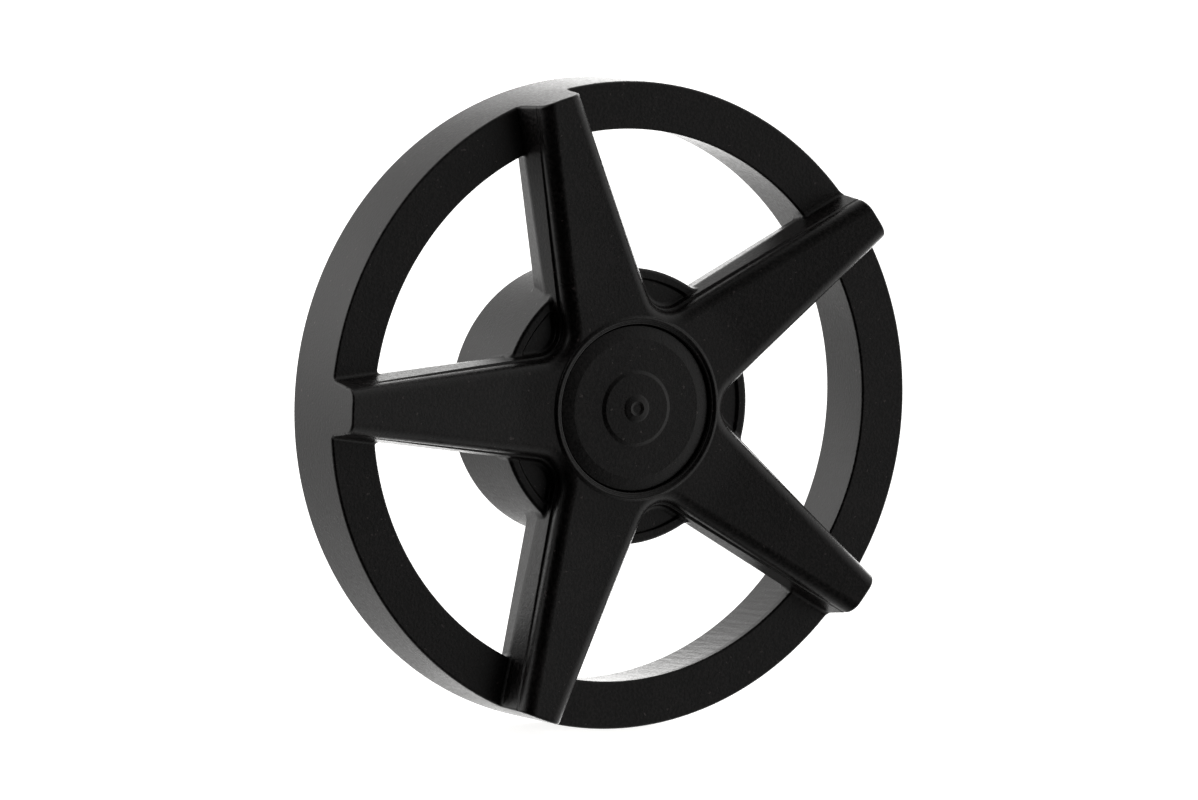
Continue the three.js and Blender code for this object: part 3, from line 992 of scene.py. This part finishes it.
def floor():
    """A pale tabletop that runs far behind the wheel and takes its shadow. The wheel itself is
    lit by the studio's walls alone."""
    front, back, side = -0.05, 2.4, 2.2
    corners = [(-side, front), (side, front), (side, back), (-side, back)]
    mesh = bpy.data.meshes.new("floor")
    mesh.from_pydata([(x, y, FLOOR_Z) for x, y in corners], [], [(0, 1, 2, 3)])
    piece = make_object("floor", mesh)
    material, nodes, _ = new_material("pale_floor")
    shader = nodes["Principled BSDF"]
    shader.inputs["Base Color"].default_value = (0.86, 0.86, 0.86, 1)
    shader.inputs["Roughness"].default_value = 0.9
    shader.inputs["Emission Color"].default_value = (*SOFT_WHITE, 1)
    shader.inputs["Emission Strength"].default_value = 0.9
    piece.data.materials.append(material)
    piece.visible_diffuse = False
    piece.visible_glossy = False
    piece.visible_shadow = False


floor()


def direction(azimuth, elevation):
    """A unit direction. Azimuth 0 is the wheel's front and 90 degrees its right."""
    a, e = math.radians(azimuth), math.radians(elevation)
    return Vector((math.sin(a) * math.cos(e), -math.cos(a) * math.cos(e), math.sin(e)))


def glow(nodes, links, coords, azimuth, elevation, core, reach, strength):
    """A soft patch of light in the sky: full inside core degrees and gone beyond reach."""
    toward = nodes.new("ShaderNodeVectorMath")
    toward.operation = "DOT_PRODUCT"
    toward.inputs[1].default_value = direction(azimuth, elevation)
    links.new(coords, toward.inputs[0])
    fade = nodes.new("ShaderNodeMapRange")
    fade.interpolation_type = "SMOOTHSTEP"
    fade.inputs["From Min"].default_value = math.cos(math.radians(reach))
    fade.inputs["From Max"].default_value = math.cos(math.radians(core))
    fade.inputs["To Max"].default_value = strength
    links.new(toward.outputs["Value"], fade.inputs["Value"])
    return fade.outputs["Result"]


def world():
    """White walls behind and to the right, darkness at the front left. It is seen as white."""
    scene_world = bpy.data.worlds.new("studio")
    bpy.context.scene.world = scene_world
    scene_world.use_nodes = True
    nodes, links = scene_world.node_tree.nodes, scene_world.node_tree.links
    background = nodes["Background"]
    coords = nodes.new("ShaderNodeTexCoord").outputs["Generated"]
    wall = glow(nodes, links, coords, 135, 0, 50, 130, WALL_LIGHT)
    left = glow(nodes, links, coords, 240, 20, 15, 40, LEFT_LIGHT)
    right = glow(nodes, links, coords, 135, 0, 15, 40, RIGHT_LIGHT)
    fill = glow(nodes, links, coords, 30, 20, 15, 40, FILL_LIGHT)
    total = combined(nodes, links, "ADD", wall, left)
    total = combined(nodes, links, "ADD", total, right)
    total = combined(nodes, links, "ADD", total, fill)
    path = nodes.new("ShaderNodeLightPath")
    total = combined(nodes, links, "MAXIMUM", total, path.outputs["Is Camera Ray"])
    background.inputs["Color"].default_value = (*SOFT_WHITE, 1)
    links.new(total, background.inputs["Strength"])


world()


def camera():
    """The view from front left and a little above, through a long lens."""
    azimuth, elevation, roll = -28.4412, 4.4399, math.radians(1.8548)
    distance = 37.3187 * WHEEL_RADIUS
    lens, sensor_width = 364.7276, 36
    aside, above = -0.0684 * WHEEL_RADIUS, 0.0156 * WHEEL_RADIUS
    back = direction(azimuth, elevation)
    right = (-back).cross(Vector((0, 0, 1))).normalized()
    up = right.cross(-back)
    target = aside * right + above * up + Vector((0, RIM_FRONT_Y, 0))
    turned_right = math.cos(roll) * right + math.sin(roll) * up
    turned_up = math.cos(roll) * up - math.sin(roll) * right
    data = bpy.data.cameras.new("camera")
    data.sensor_width = sensor_width
    data.lens = lens
    data.clip_start, data.clip_end = 0.01, 20
    view = bpy.data.objects.new("camera", data)
    bpy.context.scene.collection.objects.link(view)
    place = (target + back * distance) * MM
    axes = Matrix((turned_right, turned_up, back)).transposed().to_4x4()
    view.matrix_world = Matrix.Translation(place) @ axes
    bpy.context.scene.camera = view


camera()
bpy.context.scene.view_settings.view_transform = "Standard"
bpy.context.scene.view_settings.look = "None"
